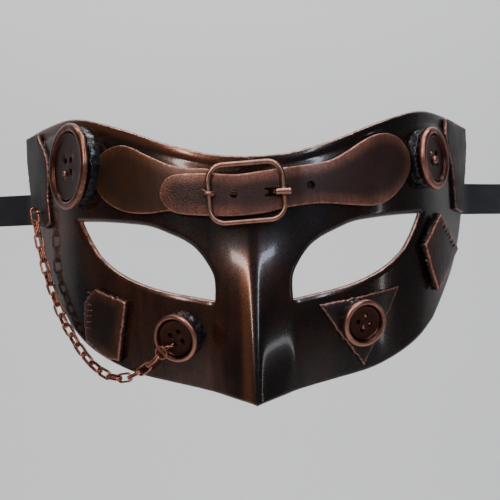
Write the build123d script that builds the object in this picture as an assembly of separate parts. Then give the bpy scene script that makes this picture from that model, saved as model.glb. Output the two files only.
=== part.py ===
from build123d import *
import math
import os

# Half mask with strapped brow, buttons, patches and a swagged chain.
# Millimetres. +Z up, the face looks along -Y, +X is the wearer's left temple.
# The origin is the seat on the bridge of the wearer's nose.

# The curved front of the shell, as depth y over (x, z)
bend_square = 0.00323
bend_fourth = 8.03e-7
temple_start = 76.0
wall = 2.0
brow_lean_start = 24.0
brow_lean = 0.004
cheek_tuck_start = -12.0
cheek_tuck = 0.003
nose_top = 17.0
nose_tip = -57.0
nose_rise = 17.0
nose_half_width = 13.0
nose_ridge_radius = 3.0
nose_foot_softness = 0.12
glue = 0.05
grid_step = 4.0

# Half outlines of the shell and of an eye hole, as (x, z) seen from the front
top_edge = [(0, 35), (13.5, 36), (26, 39), (36, 42.3), (46, 46.3), (56, 49.8), (65, 52.6),
            (72.5, 53.4), (82, 52), (88, 50.3), (92.6, 48.4)]
rear_edge = [(92.6, 48.4), (92.2, 40), (90.9, 30), (89.2, 18), (86.6, 3.5), (82.5, -9), (77, -19.5),
             (71.3, -29)]
lower_edge = [(71.3, -29), (65.3, -35), (58.6, -39.6), (50.5, -43.6), (43, -46.4), (31, -49.2),
              (21, -51.6), (10, -54.6), (0, -57)]
eye_upper = [(66.4, 12.5), (57.5, 12), (47.3, 11), (38.5, 9.6), (30.5, 6.4), (23.8, 2.8), (18.5, -2.8),
             (15.5, -8.3), (14.8, -13), (15.1, -18.4)]
eye_lower = [(15.1, -18.4), (22, -17), (31.3, -15.1), (40.5, -12.4), (50.4, -7.8), (58, -1.8),
             (63, 5.4), (66.4, 12.5)]

# Straps and buckle
strap_thick = 1.9
tongue_lift = 2.1
strap_left_outer = [(-14.5, 29.6), (-23, 31), (-30.1, 32.4), (-39.5, 36.8), (-44.8, 39.6), (-49.5, 40.7),
                    (-55.2, 38.9), (-58.8, 35), (-59.8, 29.9), (-58.4, 24), (-55.4, 20), (-51, 16.9),
                    (-45.5, 15), (-38.5, 14.5), (-30.5, 15.2), (-22, 14.6), (-14.5, 14.2)]
strap_right_outer = [(-8, 12.6), (-20, 13.2), (-28.3, 14.4), (-32.2, 17.2), (-34.2, 21.5), (-32.4, 26.4),
                     (-27.9, 28.6), (-17, 28.7), (-5.6, 28), (3.7, 29), (13, 30.2), (24, 31.6),
                     (30.5, 33), (36.6, 36.2), (42.3, 39.8), (47, 42.1), (52, 43), (56.8, 41.6),
                     (60.4, 38), (62, 33.6), (61.6, 29.2), (59.2, 24.4), (55, 19.6), (50.6, 16.7),
                     (45.5, 15.5), (38, 15.8), (25.4, 16.6), (13, 15.3), (4, 13.4), (-8, 12.6)]
buckle_centre = (-2.0, 21.2)
buckle_size = (29.6, 23.3)
buckle_corner = 6.6
buckle_wire = 1.9
buckle_tilt = 3.4
buckle_depth = -4.7
prong_wire = 1.5
shank_depth = -0.9
prong_stub_wire = 2.5
prong_stub_past = 1.9
prong_loop_wire = 1.2
prong_clearance = 0.12
punch_holes = [((-6.6, 20.6), 1.4), ((22, 23.4), 1.6)]
prong_hole_x = 7.6
prong_slot = (6.4, 80, 3.2)
loop_slot_size = (7.4, 80, 2.4)
tongue_slope = (20.0, 9.0)

# Buttons as centre (x, z), radius, rim width, holes, turn in their own plane in degrees,
# and how far the face leans off the front, sideways and upwards
buttons = {
    "button_upper_left": dict(at=(-66.0, 33.8), radius=16.8, rim=3.5, hole_gap=4.7, hole=1.2,
                              turn=4, lean=(-0.27, 0)),
    "button_upper_right": dict(at=(68.1, 33.7), radius=12.2, rim=3.0, hole_gap=3.8, hole=1.1,
                               turn=0, lean=(0.12, 0)),
    "button_lower_left": dict(at=(-27.7, -31.1), radius=9.1, rim=2.0, hole_gap=3.8, hole=0.9,
                              turn=20, lean=(-0.28, -0.14)),
    "button_lower_right": dict(at=(38.8, -27.6), radius=9.0, rim=2.3, hole_gap=3.7, hole=0.9,
                               turn=34, lean=(0.06, -0.13)),
}
button_base_height = 2.9
button_thick = 3.2
button_dish_depth = 1.5
button_gap = 0.1
button_base_inset = 0.7
wide_base_inset = 1.3

# Patches
patch_thick = 1.5
cheek_patch_lift = 1.7
temple_left_outline = [(-94, 50), (-85.2, 52), (-85.0, 47.2), (-82.8, 42.8), (-81, 37.7), (-80.6, 30),
                       (-81.2, 24), (-80.6, 18.3), (-80.1, 13.2), (-82.4, 10.8), (-90, 11)]
temple_right_outline = [(94, 50.5), (80.2, 50.2), (80.4, 44.7), (81.5, 37.5), (83.2, 31.6), (83.7, 24.3),
                        (84.2, 14.5), (90, 13)]
cheek_left_outline = [(-60.2, -13.6), (-48.2, -18.5), (-51.6, -40.4), (-56, -39.8), (-64.6, -33.6),
                      (-65.2, -26.8), (-64.8, -18.6), (-62.2, -15.2)]
cheek_right_outline = [(75.3, 12), (72.4, 7.6), (67.6, 0.4), (69.6, -7.5), (73.2, -17.5), (78, -11.5),
                       (84.2, -1.6), (80.4, 5.2)]
triangle_outline = [(24.2, -21), (40, -18.4), (55.6, -15.2), (48.6, -29.6), (41, -44.2), (32.2, -32.6)]
patch_hole = (-87.6, 43.6)
patch_hole_radius = 0.9
cheek_pad_share = 0.93

# Stitches: the first and the last along the patch's edge, then the way in from it
stitch_left = [(-62.0, -15.0), (-63.3, -27.0), (1, 0.12)]
stitch_right = [(76.4, 9.2), (82.0, 0.2), (-0.8, -0.5)]
stitch_count = 6
stitch_length = 1.5
stitch_wire = 0.7
stitch_lift = 0.4

# Chain
chain_wire = 0.72
chain_links = 21
link_width = 3.8
link_slack = 0.5
eyelet_reach_in = 0.9
ring_reach_in = 0.3
strand_gap = 0.73
eyelet_at = (-83.0, 17.6)
eyelet_radius = 1.9
eyelet_wire = 0.8
eyelet_reach = 2.5
eyelet_root = 0.9
eyelet_foot_radius = 2.1
ring_radius = 2.35
ring_wire = 0.65
ring_offset = 7.7
ring_clearance = 0.5
ring_aim = (-0.75, -0.66)
loop_wire = 0.45
loop_side = 0.5
loop_rise = 0.85
loop_half_gap = 0.32
loop_lead = 0.8
loop_clearance = 0.35
chain_route = [(-85.9, 11.3, 4.2), (-85.0, 6.6, 3.9), (-83.9, 1.2, 3.4), (-82.8, -3.5, 2.9),
               (-81.4, -8.5, 2.6), (-79.0, -14.4, 2.6), (-74.8, -24.6, 2.6), (-71.5, -30.2, 2.6),
               (-66.1, -38.0, 2.6), (-60.6, -43.6, 2.7), (-53.8, -47.0, 3.0), (-46.8, -46.4, 3.6),
               (-41.2, -43.0, 4.6)]

# Ribbon ties
ribbon_width = 12.7
ribbon_thick = 0.5
ribbon_height = 19.0
ribbon_pull = (0.8, 0.6)
ribbon_free_length = 58.0
ribbon_bend = 9.0
ribbon_pad_thick = 2.2
ribbon_pad_span = (78.0, 87.0)


def rounded_positive(value, softness):
    return (value + math.sqrt(value * value + softness * softness)) / 2


def nose_forward(x, z):
    down = min(max((nose_top - z) / (nose_top - nose_tip), 0), 1.15)
    out = math.sqrt(x * x + nose_ridge_radius ** 2) - nose_ridge_radius
    return nose_rise * down ** 1.4 * rounded_positive(1 - out / nose_half_width, nose_foot_softness)


def section_depth(x):
    reach = min(abs(x), temple_start)
    slope = 2 * bend_square * temple_start + 4 * bend_fourth * temple_start ** 3
    curved = bend_square * reach ** 2 + bend_fourth * reach ** 4
    return curved + slope * (abs(x) - reach)


def front_depth(x, z):
    lean = brow_lean * max(z - brow_lean_start, 0) ** 2
    tuck = cheek_tuck * max(cheek_tuck_start - z, 0) ** 2
    return section_depth(x) + lean + tuck - nose_forward(x, z)


def front_normal(x, z):
    step = 0.05
    across = (front_depth(x + step, z) - front_depth(x - step, z)) / (2 * step)
    upward = (front_depth(x, z + step) - front_depth(x, z - step)) / (2 * step)
    return Vector(across, -1, upward).normalized()


def front_point(x, z, height=0.0):
    return Vector(x, front_depth(x, z), z) + front_normal(x, z) * height


def seen_point(x, z, height):
    """A point that keeps its x and z and stands the given distance off the front."""
    return Vector(x, front_depth(x, z) - height / abs(front_normal(x, z).Y), z)


block_store = {}


def block(height):
    """Everything behind the front surface raised by height, a number or a function of x."""
    if height not in block_store:
        raised = height if callable(height) else lambda x: height
        columns = [grid_step * i for i in range(-26, 27)]
        rows = [grid_step * i for i in range(-17, 17)]
        grid = [[front_point(x, z, raised(x)) for z in rows] for x in columns]
        face = Face.make_surface_from_array_of_points(grid, tol=0.02)
        solid = extrude(face, amount=150, dir=(0, 1, 0))
        block_store[height] = solid
    return block_store[height]


def prism(*edges):
    """The outline's edges, closed in the XZ plane and run from front to back."""
    face = Face(Wire(edges))
    if face.normal_at().Y < 0:
        face = -face
    return extrude(face, amount=200, dir=(0, 1, 0))


def flat(points):
    return [Vector(x, -60, z) for x, z in points]


def mirrored(points):
    return [(-x, z) for x, z in reversed(points)]


def blob(points):
    """A closed smooth outline through the points."""
    return prism(Spline(*flat(points), periodic=True))


def ragged(points):
    """A closed outline of straight cuts."""
    return prism(*Polyline(*flat(points), close=True).edges())


def sheet(outline, low, high):
    """A sheet that lies on the front between two heights, inside an outline."""
    return (outline & block(high)) - block(low)


def solid_of(shape):
    """The largest solid of a boolean result."""
    return max(shape.solids(), key=lambda one: one.volume)


def shell_outline():
    top = Spline(*flat(mirrored(top_edge)[:-1] + top_edge))
    low = Spline(*flat(lower_edge + mirrored(lower_edge)[1:]))
    return prism(top, Spline(*flat(rear_edge)), low, Spline(*flat(mirrored(rear_edge))))


def eye_hole(side):
    upper = [(side * x, z) for x, z in eye_upper]
    lower = [(side * x, z) for x, z in eye_lower]
    return prism(Spline(*flat(upper)), Spline(*flat(lower)))


def mask_shell():
    shell = sheet(shell_outline(), -wall, 0.0)
    for side in (-1, 1):
        shell = shell - eye_hole(side)
    return solid_of(shell)


def brow_strap_left():
    end = Line(*flat([strap_left_outer[-1], strap_left_outer[0]]))
    outline = prism(Spline(*flat(strap_left_outer)), end)
    return solid_of(sheet(outline, glue, strap_thick))


def tongue_rise(x):
    start, run = tongue_slope
    share = min(max((start - x) / run, 0), 1)
    return tongue_lift * share * share * (3 - 2 * share)


def strap_underside(x):
    return glue + tongue_rise(x)


def strap_face(x):
    return strap_thick + tongue_rise(x)


def pin_hole(x, z, radius):
    return Pos(x, 0, z) * Rot(90, 0, 0) * Cylinder(radius, 80)


def brow_strap_right():
    strap = sheet(blob(strap_right_outer[:-1]), strap_underside, strap_face)
    for place, radius in punch_holes:
        strap = strap - pin_hole(*place, radius)
    strap = strap - Pos(prong_hole_x + 0.4, 0, buckle_centre[1]) * Box(*prong_slot)
    loop_slot = Pos(bar_x(-1) + 1.6, 0, buckle_centre[1]) * Box(*loop_slot_size)
    return solid_of(strap - loop_slot)


def buckle_frame():
    line = Plane(origin=(buckle_centre[0], buckle_depth, buckle_centre[1]), x_dir=(1, 0, 0), z_dir=(0, -1, 0))
    width, height = buckle_size[0] - buckle_wire, buckle_size[1] - buckle_wire
    outline = RectangleRounded(width, height, buckle_corner - buckle_wire / 2).face().outer_wire()
    start = outline.edges().sort_by(Axis.X)[-1]
    section = Plane(origin=start @ 0.5, z_dir=start % 0.5) * Circle(buckle_wire / 2)
    frame = sweep(section, path=outline)
    return line * (Rot(0, 0, buckle_tilt) * frame)


def bar_x(side):
    return buckle_centre[0] + side * (buckle_size[0] - buckle_wire) / 2


def buckle_prong():
    """A loop round the left bar, a shank under the tongue and a blunt stub over the right bar."""
    z = buckle_centre[1]
    loop_radius = (buckle_wire + prong_loop_wire) / 2 + prong_clearance
    loop = Pos(bar_x(-1), buckle_depth, z) * Torus(loop_radius, prong_loop_wire / 2)
    stub_depth = buckle_depth - buckle_wire / 2 - prong_clearance - prong_stub_wire / 2
    route = [(bar_x(-1) + loop_radius, buckle_depth), (bar_x(-1) + loop_radius + 0.6, -1.7),
             (bar_x(-1) + loop_radius + 2.6, shank_depth), (prong_hole_x - 1.2, shank_depth),
             (prong_hole_x + 0.4, -3.2), (prong_hole_x + 1.4, stub_depth)]
    path = FilletPolyline(*[Vector(x, y, z) for x, y in route], radius=[1.0, 1.2, 1.2, 1.4])
    shank = sweep(Plane(origin=path @ 0, z_dir=path % 0) * Circle(prong_wire / 2), path=path)
    stub_end = buckle_centre[0] + buckle_size[0] / 2 + prong_stub_past
    length = stub_end - prong_hole_x - 1.0
    stub = Pos(stub_end - length / 2, stub_depth, z) * Rot(0, 90, 0) * Cylinder(prong_stub_wire / 2, length)
    stub = fillet(stub.edges(), 0.7)
    return solid_of(shank + stub + loop)


def button_plane(name, height):
    """The button's own plane: it leans off the front about the middle of its glue pad."""
    x, z = buttons[name]["at"]
    sideways, upwards = buttons[name]["lean"]
    normal = (front_normal(x, z) + Vector(sideways, 0, upwards)).normalized()
    level = Vector(0, 0, 1).cross(normal).normalized()
    turn = math.radians(buttons[name]["turn"])
    side = level * math.cos(turn) + normal.cross(level) * math.sin(turn)
    origin = front_point(x, z, button_base_height) + normal * (height - button_base_height)
    return Plane(origin=origin, x_dir=side, z_dir=normal)


def button(name):
    """Four-hole button: raised round rim, sunk dish."""
    size = buttons[name]
    radius, rim = size["radius"], size["rim"]
    floor_height = button_thick - button_dish_depth
    profile = Polyline((0, 0), (radius - 1.2, 0), (radius, 1.1), (radius, button_thick - 1.2),
                       (radius - rim * 0.35, button_thick), (radius - rim * 0.7, button_thick),
                       (radius - rim, floor_height), (0, floor_height), close=True)
    body = revolve(Plane.XZ * make_face(profile.edges()), Axis.Z)
    gap = size["hole_gap"] / 2
    for i in (-1, 1):
        for j in (-1, 1):
            body = body - Pos(i * gap, j * gap, 0) * Cylinder(size["hole"], 20)
    return solid_of(button_plane(name, button_base_height + button_gap) * body)


def button_base(name):
    """The round pad of hardened glue that carries a button off the shell."""
    inset = wide_base_inset if name == "button_upper_left" else button_base_inset
    radius = buttons[name]["radius"] - inset
    pad = Pos(0, 0, -10) * Cylinder(radius, 20)
    pad = button_plane(name, button_base_height) * pad
    under = patch_thick + button_gap if name == "button_lower_right" else glue
    pad = pad - block(under)
    if name == "button_upper_left":
        pad = pad - brow_strap_left()
    if name == "button_upper_right":
        pad = pad - brow_strap_right()
    return solid_of(pad)


def temple_patch(side):
    outline = ragged(temple_left_outline if side < 0 else temple_right_outline) & shell_outline()
    patch = sheet(outline, glue, patch_thick)
    if side < 0:
        patch = patch - pin_hole(*patch_hole, patch_hole_radius)
    return solid_of(patch)


def cheek_patch(side):
    outline = ragged(cheek_left_outline if side < 0 else cheek_right_outline)
    return solid_of(sheet(outline, cheek_patch_lift + glue, cheek_patch_lift + patch_thick))


def cheek_pad(side):
    """The bed of black glue that a cheek patch is pressed into."""
    points = cheek_left_outline if side < 0 else cheek_right_outline
    middle = (sum(x for x, z in points) / len(points), sum(z for x, z in points) / len(points))
    share = cheek_pad_share
    inset = [(middle[0] + share * (x - middle[0]), middle[1] + share * (z - middle[1])) for x, z in points]
    return solid_of(sheet(ragged(inset) & shell_outline(), glue, cheek_patch_lift))


def triangle_patch():
    return solid_of(sheet(ragged(triangle_outline), glue, patch_thick))


def stitches(side):
    """Short thread stitches over the edge of a cheek patch."""
    first, last, inward = [Vector(*point) for point in (stitch_left if side < 0 else stitch_right)]
    height = cheek_patch_lift + patch_thick + stitch_lift
    group = []
    for i in range(stitch_count):
        place = first + (last - first) * (i / (stitch_count - 1))
        inner = place + inward * stitch_length
        start, end = front_point(place.X, place.Y, height), front_point(inner.X, inner.Y, height)
        group.append(capsule(start, end, stitch_wire / 2))
    return Compound(children=group)


def capsule(start, end, radius):
    along = end - start
    rod = Plane(origin=(start + end) / 2, z_dir=along) * Cylinder(radius, along.length)
    for tip in (start, end):
        rod = rod + Pos(tip) * Sphere(radius)
    return solid_of(rod)


def chain_eyelet():
    normal = front_normal(*eyelet_at)
    level = Vector(normal.X, normal.Y, 0).normalized()
    centre = front_point(*eyelet_at) + level * eyelet_reach
    ring = Pos(centre) * Torus(eyelet_radius, eyelet_wire / 2)
    root = front_point(*eyelet_at, eyelet_root)
    foot = Plane(origin=root, z_dir=normal) * Pos(0, 0, -3) * Cylinder(eyelet_foot_radius, 6)
    shank = Plane(origin=root, z_dir=level) * Cylinder(eyelet_wire, 2 * eyelet_wire)
    return solid_of((ring + foot + shank) - block(patch_thick + glue))


def eyelet_contact():
    """Where the chain hangs on the eyelet's outermost wire."""
    normal = front_normal(*eyelet_at)
    level = Vector(normal.X, normal.Y, 0).normalized()
    return front_point(*eyelet_at) + level * (eyelet_reach + eyelet_radius)


def ring_frame():
    """The round ring lies on the lower left button's rim, out towards the chain."""
    face = button_plane("button_lower_left", button_base_height + button_gap + button_thick)
    aim = Vector(ring_aim[0], 0, ring_aim[1])
    out = (aim - face.z_dir * aim.dot(face.z_dir)).normalized()
    centre = face.origin + out * ring_offset
    centre = centre + face.z_dir * (ring_wire / 2 + ring_clearance)
    return Plane(origin=centre, x_dir=out, z_dir=face.z_dir)


def round_ring():
    return ring_frame() * Torus(ring_radius, ring_wire / 2)


def button_loop():
    """A bight of wire out of a button hole and round the inner side of the round ring."""
    frame = ring_frame()
    reach = -buttons["button_lower_left"]["hole_gap"] / 2
    hole = button_plane("button_lower_left", button_base_height + button_thick)
    hole = frame.to_local_coords(hole.from_local_coords(Vector(reach, reach, 0)))
    near = -ring_radius
    bight = near + ring_wire / 2 + loop_wire / 2 + loop_clearance
    low = -button_thick
    back = near - loop_lead
    route = [(hole.X, hole.Y - loop_half_gap, low), (hole.X, hole.Y - loop_half_gap, -1.2),
             (back, loop_side, -loop_rise), (near, loop_side, -loop_rise), (bight, 0, 0),
             (near, -loop_side, loop_rise), (back, -loop_side, loop_rise),
             (hole.X, hole.Y + loop_half_gap, -0.6), (hole.X, hole.Y + loop_half_gap, low)]
    path = Spline(*[frame.from_local_coords(Vector(*point)) for point in route])
    section = Plane(origin=path @ 0, z_dir=path % 0) * Circle(loop_wire / 2)
    return sweep(section, path=path)


def chain_line():
    """The chain's line, which starts and ends a little past the wires that it hangs on."""
    middle = [seen_point(x, z, lift) for x, z, lift in chain_route]
    start = eyelet_contact()
    end = ring_frame().from_local_coords(Vector(ring_radius, 0, 0))
    start = start - (middle[0] - start).normalized() * eyelet_reach_in
    end = end - (middle[-1] - end).normalized() * ring_reach_in
    return Spline(start, *middle, end)


def link(start, end, across):
    """Two parallel rounded loops of wire, lying side by side."""
    along = (end - start).normalized()
    across = (across - along * across.dot(along)).normalized()
    thick = along.cross(across)
    length = (end - start).length + chain_wire + link_slack
    width = link_width - chain_wire
    centre = (start + end) / 2
    strands = []
    for side in (-0.5, 0.5):
        plane = Plane(origin=centre + thick * (side * strand_gap), x_dir=along, z_dir=thick)
        outline = SlotOverall(length, width).face().outer_wire()
        edge = outline.edges().sort_by(Axis.Y)[-1]
        section = Plane(origin=edge @ 0.5, z_dir=edge % 0.5) * Circle(chain_wire / 2)
        strands.append(plane * sweep(section, path=outline))
    return Compound(children=strands)


def chain():
    line = chain_line()
    places = [line @ (i / chain_links) for i in range(chain_links + 1)]
    ring_normal = ring_frame().z_dir
    pieces = []
    for i in range(chain_links):
        middle = (places[i] + places[i + 1]) / 2
        outward = front_normal(middle.X, middle.Z)
        ring_share = max(0, (i - chain_links + 5) / 4)
        outward = outward * (1 - ring_share) + ring_normal * ring_share
        eyelet_share = max(0, (4 - i) / 4)
        outward = Vector(outward.X, outward.Y, outward.Z * (1 - eyelet_share))
        along = places[i + 1] - places[i]
        across = outward if i % 2 == 0 else along.cross(outward)
        pieces.append(link(places[i], places[i + 1], across))
    print("chain pitch", line.length / chain_links)
    return pieces


def ribbon_route():
    """The right ribbon's centreline: glued inside the temple, then pulled out sideways."""
    inside = -wall - glue - ribbon_thick / 2
    start = front_point(78.5, ribbon_height, inside - 0.15)
    beyond = front_point(92.0, ribbon_height, inside - 0.5)
    end = beyond + Vector(*ribbon_pull, 0) * ribbon_free_length
    return [start, beyond, end]


def ribbon(side, margin=0.0):
    """A flat ribbon standing on its edge, or the slot for it where a margin is given."""
    path = FilletPolyline(*[Vector(side * p.X, p.Y, p.Z) for p in ribbon_route()], radius=ribbon_bend)
    section = Plane(origin=path @ 0, x_dir=(0, 0, 1), z_dir=path % 0)
    return sweep(section * Rectangle(ribbon_width + 2 * margin, ribbon_thick + 2 * margin), path=path)


def ribbon_pad(side):
    """Glue pad inside the temple, moulded round the end of a ribbon."""
    half = ribbon_width / 2 + 2
    first, last = ribbon_pad_span
    corners = [(first, -half), (last, -half), (last, half), (first, half)]
    outline = ragged([(side * x, ribbon_height + z) for x, z in corners])
    pad = sheet(outline, -wall - ribbon_pad_thick, -wall - glue)
    return solid_of(pad - ribbon(side, glue))


def write(name, shape):
    export_step(shape, "parts/" + name + ".step")


def build_all():
    os.makedirs("parts", exist_ok=True)
    write("mask_shell", mask_shell())
    write("brow_strap_left", brow_strap_left())
    write("brow_strap_right", brow_strap_right())
    write("buckle_frame", buckle_frame())
    write("buckle_prong", buckle_prong())
    for name in buttons:
        write(name, button(name))
        write(name.replace("button", "button_base"), button_base(name))
    for side, word in ((-1, "left"), (1, "right")):
        write("temple_patch_" + word, temple_patch(side))
        write("cheek_patch_" + word, cheek_patch(side))
        write("cheek_pad_" + word, cheek_pad(side))
        write("stitches_" + word, stitches(side))
        write("ribbon_" + word, ribbon(side))
        write("ribbon_pad_" + word, ribbon_pad(side))
    write("triangle_patch", triangle_patch())
    write("chain_eyelet", chain_eyelet())
    write("round_ring", round_ring())
    write("button_loop", button_loop())
    for number, piece in enumerate(chain(), 1):
        write("chain_link_%02d" % number, piece)


build_all()
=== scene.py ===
import math
import random
import bpy
from mathutils import Matrix, Vector, kdtree, noise


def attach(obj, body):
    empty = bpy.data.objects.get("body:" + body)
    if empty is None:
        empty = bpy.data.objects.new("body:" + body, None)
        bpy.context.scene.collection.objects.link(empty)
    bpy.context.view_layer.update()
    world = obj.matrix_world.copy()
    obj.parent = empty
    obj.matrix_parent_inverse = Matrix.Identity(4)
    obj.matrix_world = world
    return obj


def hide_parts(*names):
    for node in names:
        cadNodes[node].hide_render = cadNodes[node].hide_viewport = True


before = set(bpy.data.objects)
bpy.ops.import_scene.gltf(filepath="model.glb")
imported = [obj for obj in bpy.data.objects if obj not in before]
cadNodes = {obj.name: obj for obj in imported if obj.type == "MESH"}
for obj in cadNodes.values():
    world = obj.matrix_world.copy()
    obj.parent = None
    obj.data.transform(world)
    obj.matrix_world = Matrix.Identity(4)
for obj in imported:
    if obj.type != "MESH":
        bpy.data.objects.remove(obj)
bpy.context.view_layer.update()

mm = 0.001
random.seed(12)

camera = {"distance": 0.600, "azimuth": -1.0, "roll": -1.5, "lens": 116.8, "aim": (-0.0011, 0.0, 0.0)}

bpy.ops.object.select_all(action="DESELECT")
turn = math.radians(camera["azimuth"])
aim = Vector(camera["aim"])
eye = aim + Vector((math.sin(turn), -math.cos(turn), 0)) * camera["distance"]
bpy.ops.object.camera_add(location=eye, rotation=(math.radians(90), math.radians(-camera["roll"]), turn))
cameraObject = bpy.context.object
cameraObject.data.lens = camera["lens"]
cameraObject.data.sensor_width = 36
cameraObject.data.clip_start = 0.01
bpy.context.scene.camera = cameraObject

lamps = [
    {"name": "leftStrip", "at": (-0.33, -0.68, 0.44), "size": (0.09, 0.62), "watts": 4.4,
     "tint": (1, 0.90, 0.84)},
    {"name": "rightStrip", "at": (0.33, -0.68, 0.44), "size": (0.07, 0.62), "watts": 3.0,
     "tint": (0.62, 0.79, 1)},
    {"name": "topSoftbox", "at": (0.05, -0.30, 0.80), "size": (0.60, 0.25), "watts": 3.2,
     "tint": (0.93, 0.96, 1)},
    {"name": "sideStrip", "at": (0.78, -0.19, -0.09), "size": (0.05, 0.26), "watts": 0.25,
     "tint": (0.88, 0.94, 1)},
    {"name": "wallWash", "at": (0.0, 0.25, 0.95), "size": (1.2, 0.2), "watts": 13.0,
     "tint": (1, 1, 1), "aim": (0, 0.9, 0.1)},
]
for lamp in lamps:
    bpy.ops.object.light_add(type="AREA", location=lamp["at"])
    light = bpy.context.object
    light.name = lamp["name"]
    light.data.shape = "RECTANGLE"
    light.data.size, light.data.size_y = lamp["size"]
    light.data.energy = lamp["watts"]
    light.data.color = lamp["tint"]
    toward = Vector(lamp.get("aim", (0, 0.02, 0))) - light.location
    light.rotation_euler = toward.to_track_quat("-Z", "Y").to_euler()

studio = {"floorHeight": -0.42, "back": 0.9, "front": -1.4, "half": 1.8, "corner": 0.5, "wall": 1.2,
          "tone": 0.75, "world": 0.09}
world = bpy.data.worlds.new("studioAir")
bpy.context.scene.world = world
world.use_nodes = True
world.node_tree.nodes["Background"].inputs["Color"].default_value = (0.93, 0.95, 1, 1)
world.node_tree.nodes["Background"].inputs["Strength"].default_value = studio["world"]
print("camera and studio ready")


def newMaterial(name):
    material = bpy.data.materials.new(name)
    material.use_nodes = True
    material.node_tree.nodes.clear()
    return material


def putNode(tree, kind, sockets=None, **settings):
    made = tree.nodes.new(kind)
    for key, value in settings.items():
        setattr(made, key, value)
    for key, value in (sockets or {}).items():
        made.inputs[key].default_value = value
    return made


def join(tree, out, into):
    tree.links.new(out, into)


def mathNode(tree, operation, first, second=None, clamp=False):
    made = putNode(tree, "ShaderNodeMath", operation=operation, use_clamp=clamp)
    for i, value in enumerate((first, second)):
        if value is None:
            continue
        if isinstance(value, (int, float)):
            made.inputs[i].default_value = value
        else:
            join(tree, value, made.inputs[i])
    return made.outputs[0]


def mixColour(tree, share, first, second):
    made = putNode(tree, "ShaderNodeMix", data_type="RGBA")
    for socket, value in ((made.inputs[0], share), (made.inputs[6], first), (made.inputs[7], second)):
        if isinstance(value, (tuple, float, int)):
            socket.default_value = (*value, 1) if isinstance(value, tuple) else value
        else:
            join(tree, value, socket)
    return made.outputs[2]


def rampValue(tree, value, low, high, start=0.0, end=1.0):
    ends = {1: low, 2: high, 3: start, 4: end}
    made = putNode(tree, "ShaderNodeMapRange", ends, interpolation_type="SMOOTHSTEP")
    join(tree, value, made.inputs[0])
    return made.outputs[0]


def objectNoise(tree, scale, detail=3.0, rough=0.55, stretch=(1, 1, 1), coords=None):
    if coords is None:
        coords = putNode(tree, "ShaderNodeTexCoord").outputs["Object"]
    mapping = putNode(tree, "ShaderNodeMapping", {"Scale": stretch})
    join(tree, coords, mapping.inputs["Vector"])
    texture = putNode(tree, "ShaderNodeTexNoise", {"Scale": scale, "Detail": detail, "Roughness": rough})
    join(tree, mapping.outputs[0], texture.inputs["Vector"])
    return texture.outputs["Fac"]


def shaderGroup(name, inputs, outputs):
    tree = bpy.data.node_groups.new(name, "ShaderNodeTree")
    for label, value in inputs:
        socket = tree.interface.new_socket(name=label, in_out="INPUT", socket_type="NodeSocketFloat")
        socket.default_value = value
    for label in outputs:
        tree.interface.new_socket(name=label, in_out="OUTPUT", socket_type="NodeSocketFloat")
    return tree, putNode(tree, "NodeGroupInput"), putNode(tree, "NodeGroupOutput")


def useGroup(tree, group, **values):
    made = putNode(tree, "ShaderNodeGroup", node_tree=group)
    for key, value in values.items():
        if isinstance(value, (int, float)):
            made.inputs[key].default_value = value
        else:
            join(tree, value, made.inputs[key])
    return made


def makeRubWear():
    # how far the dark lacquer is rubbed off, from an edge value and a broken-up noise
    tree, enter, leave = shaderGroup("rubWear", [("Edge", 0.0), ("Breakup", 0.5), ("Scale", 300.0),
                                                ("Start", 0.62), ("Full", 1.02)], ["Mask"])
    coords = putNode(tree, "ShaderNodeTexCoord").outputs["Object"]
    texture = putNode(tree, "ShaderNodeTexNoise", {"Detail": 4.0, "Roughness": 0.65})
    join(tree, coords, texture.inputs["Vector"])
    join(tree, enter.outputs["Scale"], texture.inputs["Scale"])
    shifted = mathNode(tree, "SUBTRACT", texture.outputs["Fac"], 0.5)
    spread = mathNode(tree, "MULTIPLY", shifted, enter.outputs["Breakup"])
    doubled = mathNode(tree, "MULTIPLY", spread, 2.0)
    total = mathNode(tree, "ADD", enter.outputs["Edge"], doubled)
    ramp = putNode(tree, "ShaderNodeMapRange", interpolation_type="SMOOTHSTEP")
    for i, value in enumerate((total, enter.outputs["Start"], enter.outputs["Full"])):
        join(tree, value, ramp.inputs[i])
    join(tree, ramp.outputs[0], leave.inputs["Mask"])
    return tree


def makeHideGrain():
    # pebbled grain of leather: small rounded cells with fine creases
    tree, enter, leave = shaderGroup("hideGrain", [("Scale", 1500.0)], ["Height", "Crease"])
    coords = putNode(tree, "ShaderNodeTexCoord").outputs["Object"]
    wobble = putNode(tree, "ShaderNodeTexNoise", {"Scale": 900.0, "Detail": 2.0})
    join(tree, coords, wobble.inputs["Vector"])
    bend = putNode(tree, "ShaderNodeVectorMath", {1: (0.0006, 0.0006, 0.0006)}, operation="MULTIPLY")
    join(tree, wobble.outputs["Color"], bend.inputs[0])
    moved = putNode(tree, "ShaderNodeVectorMath", operation="ADD")
    join(tree, coords, moved.inputs[0])
    join(tree, bend.outputs[0], moved.inputs[1])
    cells = putNode(tree, "ShaderNodeTexVoronoi", {"Smoothness": 0.35}, feature="SMOOTH_F1")
    join(tree, moved.outputs[0], cells.inputs["Vector"])
    join(tree, enter.outputs["Scale"], cells.inputs["Scale"])
    height = rampValue(tree, cells.outputs["Distance"], 0.30, 0.85, 1.0, 0.0)
    join(tree, height, leave.inputs["Height"])
    join(tree, rampValue(tree, height, 0.05, 0.5, 1.0, 0.0), leave.inputs["Crease"])
    return tree


rubWear = makeRubWear()
hideGrain = makeHideGrain()


def edgeValue(tree, name="edge"):
    return putNode(tree, "ShaderNodeAttribute", attribute_name=name).outputs["Fac"]


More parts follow.
